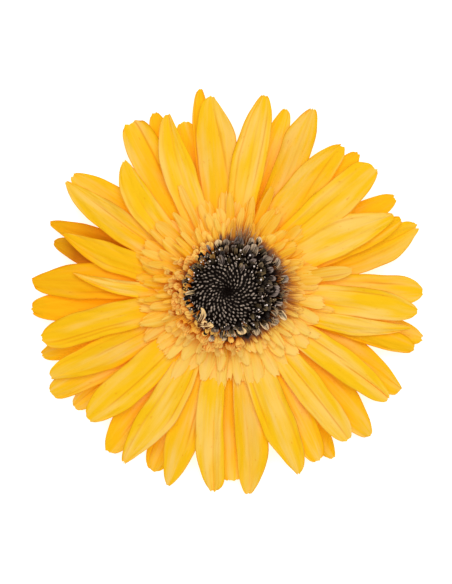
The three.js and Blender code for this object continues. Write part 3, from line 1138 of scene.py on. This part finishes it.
# The lobes that stand out: their middle, width, length, how pale and how buff they are.
LOBES = (
    (-2.0, 10.5, 1.5, 1.4, 0.8, 0.8), (-0.4, 10.5, 1.4, 1.5, 0.6, 0.15), (-3.9, 9.6, 1.2, 1.3, 0.7, 0.1),
    (2.3, 11.0, 2.0, 1.8, 0.45, 0.0), (5.2, 10.7, 1.4, 1.5, 0.8, 0.3), (7.0, 11.0, 1.4, 1.4, 0.9, 0.7),
    (6.1, 8.9, 1.9, 2.0, 0.9, 0.3), (3.8, 9.1, 1.1, 2.3, 0.8, 0.1), (8.5, 7.0, 2.0, 2.0, 0.7, 0.1),
    (11.0, 5.8, 1.6, 1.6, 0.8, 0.25), (9.3, 4.6, 1.3, 1.4, 0.7, 0.0), (9.8, 2.9, 1.2, 1.3, 0.75, 0.0),
    (12.3, 2.4, 1.6, 2.0, 0.7, 0.15), (10.6, 0.5, 1.5, 1.6, 0.8, 0.0), (10.2, -0.9, 1.3, 2.0, 0.65, 0.0),
    (11.2, -2.7, 1.3, 1.4, 0.9, 0.1), (10.5, -4.3, 1.5, 1.4, 0.6, 0.35), (12.2, -5.0, 1.5, 2.2, 0.9, 0.8),
    (10.1, -7.2, 1.5, 1.5, 0.8, 0.4), (8.3, -7.5, 1.3, 2.2, 1.0, 0.6), (6.6, -8.7, 1.4, 1.6, 0.8, 0.5),
    (2.7, -8.9, 1.9, 1.5, 0.7, 0.9), (0.4, -9.5, 1.9, 1.0, 0.8, 0.4), (-0.2, -8.1, 1.6, 1.1, 0.4, 0.0),
    (-0.9, -10.4, 1.6, 1.3, 0.8, 0.5), (-3.2, -10.6, 1.4, 1.4, 0.8, 0.8), (-2.8, -8.4, 1.3, 1.2, 0.7, 0.15),
    (-8.4, -0.2, 0.8, 1.8, 0.6, 0.8), (-1.1, 6.8, 1.1, 2.4, 0.6, 0.0), (3.3, 5.1, 1.0, 1.3, 0.65, 0.0),
    (5.2, 6.7, 0.9, 1.5, 0.7, 0.0),
)

# The white grains of pollen that stand out.
GRAINS = (
    (-3.2, 8.3), (-3.9, 6.4), (-5.8, 6.2), (-7.3, 3.9), (-8.5, 2.5), (-1.8, 8.9), (2.8, 8.8), (4.8, 7.7),
    (2.5, 6.9), (5.7, 5.3), (7.2, 4.4), (7.2, 2.4), (7.5, -1.2), (8.5, -3.1), (6.7, -4.1), (6.8, -5.7),
    (5.6, -7.4),
)

# The crumpled pale strips on the lower left: their start, heading, length and width.
STRIPS = (
    (-6.5, -7.2, 50, 3.6, 1.1), (-6.6, -7.6, 15, 1.8, 1.0), (-5.7, -8.2, 70, 1.8, 1.1),
    (-4.8, -8.2, 40, 1.8, 1.1), (-5.4, -7.1, -25, 1.8, 0.9),
)

# A curled floret: a short tube that opens into a lip, as radii and heights for a size of 1.
CURL_OUTLINE = ((0.0, 0.0), (0.22, 0.1), (0.2, 0.5), (0.34, 0.85), (0.3, 1.0), (0.14, 0.8), (0.0, 0.7))


def floret_zone(angle):
    """The inner and outer radius of the open florets at an angle."""
    return tuple(np.interp(angle, FLORET_ZONE[:, 0], FLORET_ZONE[:, side], period=360) for side in (1, 2))


def ring_height(radius):
    """The height that the open florets reach at a radius."""
    return float(np.interp(radius, (5.0, 9.0, 12.5, 15.0), (20.7, 20.2, 19.2, 18.2)))


def orange_side(angle):
    """How orange the florets are at an angle: on the left and lower left."""
    return hump(angle, 202, 82, 4)


def add_lip(sheaf, radius, angle, width, length, tint, chance):
    """Adds the lip of one open floret, which rises out of the bed and spreads about its middle."""
    top = ring_height(radius)
    tip = (radius + length / 2, top - chance.uniform(0.1, 0.4))
    bend = (radius - length / 2 + 0.1, top + 0.25)
    path = BentPath((radius - length / 2 - 0.5, top - 1.6), bend, tip, angle, chance.uniform(-4, 4))
    warmth, dusk, smoke = tint
    blade = Blade(
        width=width,
        thickness=0.16,
        foot=0.5,
        widest=0.72,
        blunt=chance.pair(0.6, 1.0),
        creases=usual_creases(chance, 0.12, 1),
        teeth=chance.choice((0, 2, 3)),
        notch=0.12 * length,
        ragged=0.08,
        wander=0.15,
        cup=chance.uniform(-0.2, 0.3),
        roll=chance.pair(-30, 50),
        roll_from=0.5,
        bank=chance.uniform(-15, 15),
        warmth=warmth,
        dusk=dusk,
        smoke=smoke,
        seed=chance.random(),
    )
    add_blade(sheaf, blade, path, FLORET_GRID)


def add_dark_florets(sheaf, chance):
    """Fills the zone of open florets with small dark lips."""
    for number in range(DARK_FLORETS):
        angle = DARK_FLORET_TURN * number
        inner, outer = floret_zone(angle % 360)
        share = chance.random()
        if chance.random() > (outer - inner) / WIDE_ZONE:
            share = 0.6
        pale = chance.random() ** 4 * (0.1 + 0.9 * share**2)
        golden = chance.random() < 0.1 + 0.45 * share
        warmth = orange_side(angle) * chance.uniform(0.5, 1.0) if golden else 0.0
        tint = (warmth, pale, 0.25 * chance.random() ** 3)
        radius = inner + (outer - inner) * share
        add_lip(sheaf, radius, angle, chance.uniform(0.5, 1.1), chance.uniform(0.7, 1.3), tint, chance)


def add_orange_florets(sheaf, chance):
    """Crowds small orange florets outside the dark ones, on the left and lower left."""
    for number in range(ORANGE_FLORETS):
        angle = chance.uniform(112, 285)
        radius = floret_zone(angle)[1] - 0.3 + 3.8 * orange_side(angle) * chance.random()
        tint = (chance.uniform(0.8, 1.0), 0, 0)
        if number % 5:
            add_lip(sheaf, radius, angle, chance.uniform(0.9, 1.8), chance.uniform(1.1, 2.0), tint, chance)
        else:
            place = at(radius, angle, ring_height(radius) - 1.2)
            add_curl(sheaf, place, angle, chance.uniform(5, 50), chance.uniform(1.4, 2.2), tint, chance)


def add_strip(sheaf, x, y, heading, length, width, chance):
    """Adds one crumpled pale strip that lies on the florets."""
    height = ring_height(math.hypot(x, y))
    points = ((0, height), (0.5 * length, height + 1.0), (length, height + 0.2))
    path = BentPath(*points, heading, chance.uniform(-30, 30), origin=(x, y))
    blade = Blade(
        width=width,
        thickness=0.14,
        foot=0.7,
        blunt=0.8,
        creases=usual_creases(chance, 0.12, 1),
        ragged=0.15,
        wander=0.25,
        roll=(70, -50),
        roll_from=0.3,
        wave=0.15,
        warmth=0.15,
        dusk=1.0,
        smoke=chance.uniform(1.8, 2.4),
        seed=chance.random(),
    )
    add_blade(sheaf, blade, path, FLORET_GRID)


def add_curl(sheaf, place, heading, lean, size, tint, chance):
    """Adds a small curled floret."""
    points = turned_points(np.array(CURL_OUTLINE) * size, CURL_FACETS)
    facet = np.tile(np.arange(CURL_FACETS), len(CURL_OUTLINE))
    points[:, 0] *= 1 + 0.25 * np.sin(facet * 2.7 + 6 * chance.random())
    points = leaning(points, heading, lean, chance.uniform(0, 360), place)
    values = turned_values(CURL_OUTLINE, CURL_FACETS, chance.random())
    add_turned(sheaf, points, CURL_FACETS, values, tint)


def add_bristles(sheaf, chance):
    """Spreads fine brown bristles over the bases of the short petals, most where these are dusky."""
    for _ in range(BRISTLES):
        angle = chance.uniform(-180, 180)
        if chance.random() > smoke_at(angle):
            continue
        start = floret_zone(angle)[1] - chance.uniform(0.2, 1.6)
        stop = start + chance.uniform(1.2, 2.2) + BRISTLE_REACH * smoke_at_top(angle) * chance.random()
        top = ring_height(start) - chance.uniform(0.0, 0.5)
        bend = ((start + stop) / 2, top + 0.3)
        path = BentPath((start, top - 0.9), bend, (stop, top - 0.7), angle, chance.uniform(-4, 4))
        blade = Blade(
            width=chance.uniform(0.12, 0.3),
            thickness=0.08,
            foot=0.8,
            widest=0.3,
            blunt=0,
            sway=chance.uniform(-0.1, 0.1),
            warmth=chance.uniform(0.0, 0.3),
            dusk=chance.uniform(0.2, 1.0),
            smoke=chance.uniform(0.1, 0.8),
            seed=chance.random(),
        )
        add_blade(sheaf, blade, path, BRISTLE_GRID)


def add_grain(sheaf, place, size, whiteness, chance):
    """Adds a grain of pollen: a small round bead."""
    steps = np.linspace(0, math.pi, 5)
    outline = np.stack((np.sin(steps) * size, (1 - np.cos(steps)) * size), axis=1)
    points = turned_points(outline, GRAIN_FACETS) * (1, chance.uniform(0.8, 1.2), 1) + place
    add_turned(sheaf, points, GRAIN_FACETS, (0, 1, chance.random()), (0, 1, 0.3), whiteness)


def scatter_grains(sheaf, chance):
    """Adds the grains that stand out, and then small ones all round the ring."""
    for x, y in GRAINS:
        place = (x, y, ring_height(math.hypot(x, y)) + 0.3)
        add_grain(sheaf, place, chance.uniform(0.17, 0.24), 1.0, chance)
    for _ in range(SMALL_GRAINS):
        angle = chance.uniform(0, 360)
        inner, outer = floret_zone(angle)
        radius = chance.uniform(inner - 0.7, outer)
        place = at(radius, angle, ring_height(radius) + 0.1)
        add_grain(sheaf, place, chance.uniform(0.08, 0.16), chance.uniform(0.6, 1.0), chance)


class GERBERA_OT_open_florets(bpy.types.Operator):
    """Opens the florets round the dome, with their curled lobes and grains of pollen"""

    bl_idname = "gerbera.open_florets"
    bl_label = "Open florets"

    def execute(self, context):
        chance = Chance("florets")
        sheaf = Sheaf()
        add_dark_florets(sheaf, chance)
        add_orange_florets(sheaf, chance)
        add_bristles(sheaf, chance)
        for x, y, width, length, pale, buff in LOBES:
            angle = math.degrees(math.atan2(y, x))
            add_lip(sheaf, math.hypot(x, y), angle, width, length, (0, pale, buff), chance)
        for strip in STRIPS:
            add_strip(sheaf, *strip, chance)
        scatter_grains(sheaf, chance)
        material = floret_paint(context.scene.gerbera_disc)
        sheaf.make("open_florets_lipped", material, "open_floret_ring")
        return {"FINISHED"}


# Bracts and stem

BRACT_GRID = (24, 10)
BRACT_COLOURS = ((128, 140, 74), (84, 100, 48), (124, 96, 52))  # light, dark and brown
STEM_COLOURS = ((158, 162, 104), (112, 122, 68), (140, 116, 70))
STEM_FACETS = 96
STEM_RIBS = 14
STEM_RIB_DEPTH = 0.018  # as a share of the radius
STEM_OUTLINE = (
    (0.0, 0.5), (0.7, 0.45), (1.2, 0.15), (2.3, 0.05), (2.55, 0.2), (2.6, 1.2), (2.6, 2.4), (2.75, 3.1),
    (3.3, 3.7), (4.2, 4.4), (5.4, 5.2), (6.6, 5.8), (8.2, 6.5), (9.4, 7.2), (9.95, 7.9), (10.0, 9.0),
    (10.0, 12.0), (9.7, 12.6), (7.0, 12.8), (3.0, 12.9), (0.0, 12.9),
)


@dataclass
class Whorl:
    """One whorl of bracts, from where they grow, past a bend, to their tips."""

    node: str
    foot: tuple
    bend: tuple
    tip: tuple
    count: int
    width: float
    turn: float = 0.0


BRACT_WHORLS = (
    Whorl("outer_bracts", (4.6, 4.1), (9.0, 5.5), (14.5, 4.8), 12, 3.6, turn=8),
    Whorl("inner_bracts", (6.9, 5.4), (11.5, 7.2), (19.0, 5.9), 14, 4.0),
)


def add_bract(sheaf, whorl, number, chance):
    """Adds one bract of a whorl."""
    angle = whorl.turn - 360 * (number + 0.5) / whorl.count + chance.uniform(-2, 2)
    tip = (whorl.tip[0] * chance.uniform(0.9, 1.02), whorl.tip[1])
    path = BentPath(whorl.foot, whorl.bend, tip, angle, chance.uniform(-3, 3))
    blade = Blade(
        width=whorl.width * chance.uniform(0.9, 1.1),
        thickness=0.4,
        foot=0.6,
        widest=0.35,
        blunt=0.1,
        creases=(Crease(0, 0, 0.2),),
        cup=0.25,
        roll=20,
        seed=chance.random(),
    )
    add_blade(sheaf, blade, path, BRACT_GRID)


class GERBERA_OT_bracts(bpy.types.Operator):
    """Lays the two whorls of green bracts under the head"""

    bl_idname = "gerbera.bracts"
    bl_label = "Bracts"

    def execute(self, context):
        material = green_paint("dried_green_bract", *BRACT_COLOURS)
        grow_rows(BRACT_WHORLS, add_bract, "_ribbed", material)
        return {"FINISHED"}


class GERBERA_OT_stem(bpy.types.Operator):
    """Turns the ribbed stub of stem and the receptacle that it widens into"""

    bl_idname = "gerbera.stem"
    bl_label = "Stem and receptacle"

    def execute(self, context):
        points = turned_points(STEM_OUTLINE, STEM_FACETS)
        angles = np.arctan2(points[:, 1], points[:, 0])
        outside = (np.hypot(points[:, 0], points[:, 1]) > 2.0) & (points[:, 2] > 0.1)
        ribs = 1 - STEM_RIB_DEPTH * outside * (0.5 + 0.5 * np.cos(STEM_RIBS * angles))
        points[:, :2] *= ribs[:, None]
        values = np.stack((angles * 2, points[:, 2] / 6, np.full_like(angles, 0.4)), axis=1)
        sheaf = Sheaf()
        add_turned(sheaf, points, STEM_FACETS, values, (0, 0, 0))
        material = green_paint("fibrous_green_stem", *STEM_COLOURS)
        sheaf.make("stem_ribbed", material, "stem_with_receptacle")
        return {"FINISHED"}


# Stage

SENSOR = 36.0
AIM = (-0.40, -0.27)  # the middle of the picture, from the axis
AIM_HEIGHT = 6.0
FLOOR_REACH = 4.0  # in metres, from the middle to each side
LIGHT_SPREAD = 45  # how wide the soft light is
TOWARDS_LIGHT = Vector((0.06, 0.18, 1.0))


def lay_floor():
    """Lays the white paper that the flower lies on."""
    mesh = bpy.data.meshes.new("floor")
    corners = [(x * FLOOR_REACH, y * FLOOR_REACH, 0) for x, y in ((-1, -1), (1, -1), (1, 1), (-1, 1))]
    mesh.from_pydata(corners, [], [(0, 1, 2, 3)])
    mesh.materials.append(paper_paint())
    new_object("floor", mesh)


def hang_key_light(strength):
    """Hangs the soft light."""
    data = bpy.data.lights.new("key_light", "SUN")
    data.energy = strength
    data.angle = math.radians(LIGHT_SPREAD)
    new_object("key_light", data).rotation_euler = TOWARDS_LIGHT.to_track_quat("Z", "Y").to_euler()


def light_room(strength):
    """Lights the flower evenly from all round."""
    world = bpy.data.worlds.new("pale_room")
    world.use_nodes = True
    background = world.node_tree.nodes["Background"]
    background.inputs["Color"].default_value = (1, 1, 1, 1)
    background.inputs["Strength"].default_value = strength
    bpy.context.scene.world = world


def set_camera(settings):
    """Looks straight down on the face, from where the lens takes in the frame's height."""
    data = bpy.data.cameras.new("camera")
    data.lens = settings.lens
    data.sensor_fit = "VERTICAL"
    data.sensor_height = SENSOR
    data.clip_start = 0.01
    distance = settings.lens * settings.frame_height / SENSOR
    camera = new_object("camera", data)
    camera.location = ((AXIS.x + AIM[0]) * MM, (AXIS.y + AIM[1]) * MM, AIM_HEIGHT * MM + distance)
    bpy.context.scene.camera = camera


class GERBERA_OT_stage(bpy.types.Operator):
    """Lays the white floor, and sets the soft light and the camera above the face"""

    bl_idname = "gerbera.stage"
    bl_label = "Stage"

    def execute(self, context):
        settings = context.scene.gerbera_stage
        context.scene.view_settings.view_transform = "Standard"
        lay_floor()
        hang_key_light(settings.key_strength)
        light_room(settings.room_strength)
        set_camera(settings)
        return {"FINISHED"}


# Panel

STEPS = (
    GERBERA_OT_stage,
    GERBERA_OT_stem,
    GERBERA_OT_bracts,
    GERBERA_OT_ray_petals,
    GERBERA_OT_short_petals,
    GERBERA_OT_open_florets,
    GERBERA_OT_disc_buds,
)


class GERBERA_PT_panel(bpy.types.Panel):
    """Lists the steps that build the flower"""

    bl_idname = "GERBERA_PT_panel"
    bl_label = "Gerbera"
    bl_space_type = "VIEW_3D"
    bl_region_type = "UI"
    bl_category = "Gerbera"

    def draw(self, context):
        for step in STEPS:
            self.layout.operator(step.bl_idname)


SETTINGS = {
    "gerbera_rays": RayPetalSettings,
    "gerbera_short": ShortPetalSettings,
    "gerbera_disc": DiscSettings,
    "gerbera_stage": StageSettings,
}
CLASSES = (*SETTINGS.values(), *STEPS, GERBERA_PT_panel)


def register():
    for each in CLASSES:
        bpy.utils.register_class(each)
    for name, group in SETTINGS.items():
        setattr(bpy.types.Scene, name, PointerProperty(type=group))


def unregister():
    for name in SETTINGS:
        delattr(bpy.types.Scene, name)
    for each in reversed(CLASSES):
        bpy.utils.unregister_class(each)


def main():
    register()
    for step in STEPS:
        group, name = step.bl_idname.split(".")
        getattr(getattr(bpy.ops, group), name)()


if __name__ == "__main__":
    main()
